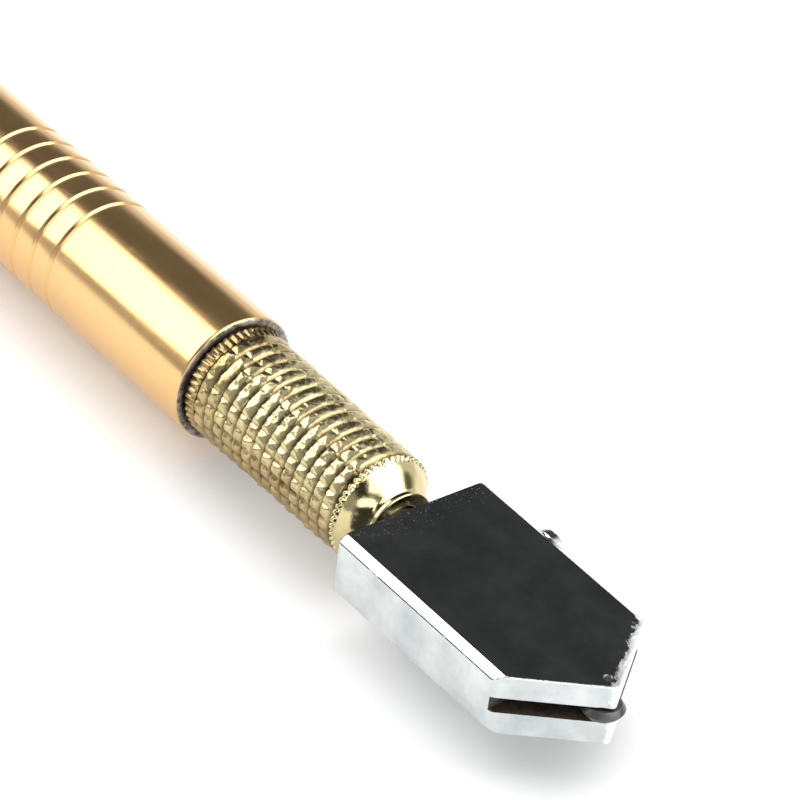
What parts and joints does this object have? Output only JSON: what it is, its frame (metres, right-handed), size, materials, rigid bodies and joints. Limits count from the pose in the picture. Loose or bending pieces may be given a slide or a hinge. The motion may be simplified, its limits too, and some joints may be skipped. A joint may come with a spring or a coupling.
{
  "type": "glass cutter",
  "caption": "Oil-fed hand glass cutter: gold tube handle, knurled brass nose, swivelling chrome five-sided head with a carbide wheel, and a screw cap.",
  "frame": {"origin": "middle of the base rectangle of the whole tool as it lies flat, so z = 0 is the lowest line of the cap's rim", "axes": "+X along the tool from the cap towards the cutting wheel, +Y towards the lock screw, +Z normal to the head's flat faces"},
  "size_m": [0.1766, 0.0163, 0.0143],
  "materials": {
    "gold_aluminium": "bright gold anodised, turned",
    "brass": "bright turned and knurled",
    "head_chrome": "polished plating, slightly worn",
    "cap_chrome": "polished plating",
    "screw_chrome": "bright plating",
    "plain_steel": "turned",
    "spring_steel": "drawn wire",
    "carbide": "ground sintered carbide, dark grey",
    "black_rubber": "matt moulded",
    "cotton": "oily twisted cotton"
  },
  "bodies": {
    "handle": {"handle_tube": "gold_aluminium", "nose_body": "brass", "nose_seal": "black_rubber", "guide_bush": "brass", "stem_seal": "black_rubber", "spring_retainer": "brass", "return_spring": "spring_steel", "oil_wick": "cotton"},
    "stem": {"head_stem": "plain_steel", "valve_seal": "black_rubber"},
    "head": {"head_body": "head_chrome", "wheel_axle": "plain_steel"},
    "locking_screw": {"lock_screw": "screw_chrome"},
    "wheel": {"cutting_wheel": "carbide"},
    "cap_washer": {"cap_seal": "black_rubber"},
    "cap": {"end_cap": "cap_chrome"}
  },
  "joints": [
    {"name": "stem_press", "type": "slide", "parent": "handle", "child": "stem", "axis": [-1, 0, 0], "range_m": [0, 0.0008], "stiffness_N_per_m": 1500, "springref_m": -0.001, "deforming": ["return_spring"]},
    {"name": "head_swivel", "type": "hinge", "parent": "stem", "child": "head", "pos_m": [0.06997, -0.00065, 0.00715], "axis": [1, 0, 0], "continuous": true},
    {"name": "lock_screw_turn", "type": "hinge", "parent": "head", "child": "locking_screw", "pos_m": [0.06997, -0.00065, 0.00715], "axis": [0, 1, 0], "range_deg": [0, 540]},
    {"name": "wheel_spin", "type": "hinge", "parent": "head", "child": "wheel", "pos_m": [0.08653, -0.00065, 0.00715], "axis": [0, 0, 1], "continuous": true},
    {"name": "cap_slide", "type": "slide", "parent": "handle", "child": "cap_washer", "axis": [-1, 0, 0], "range_m": [0, 0.007]},
    {"name": "cap_turn", "type": "hinge", "parent": "cap_washer", "child": "cap", "pos_m": [-0.08, -0.00065, 0.00715], "axis": [-1, 0, 0], "range_deg": [0, 2521]}
  ],
  "couplings": [
    {"joint": "cap_turn", "follows": "cap_slide", "rad_per_m": 6283.2}
  ]
}
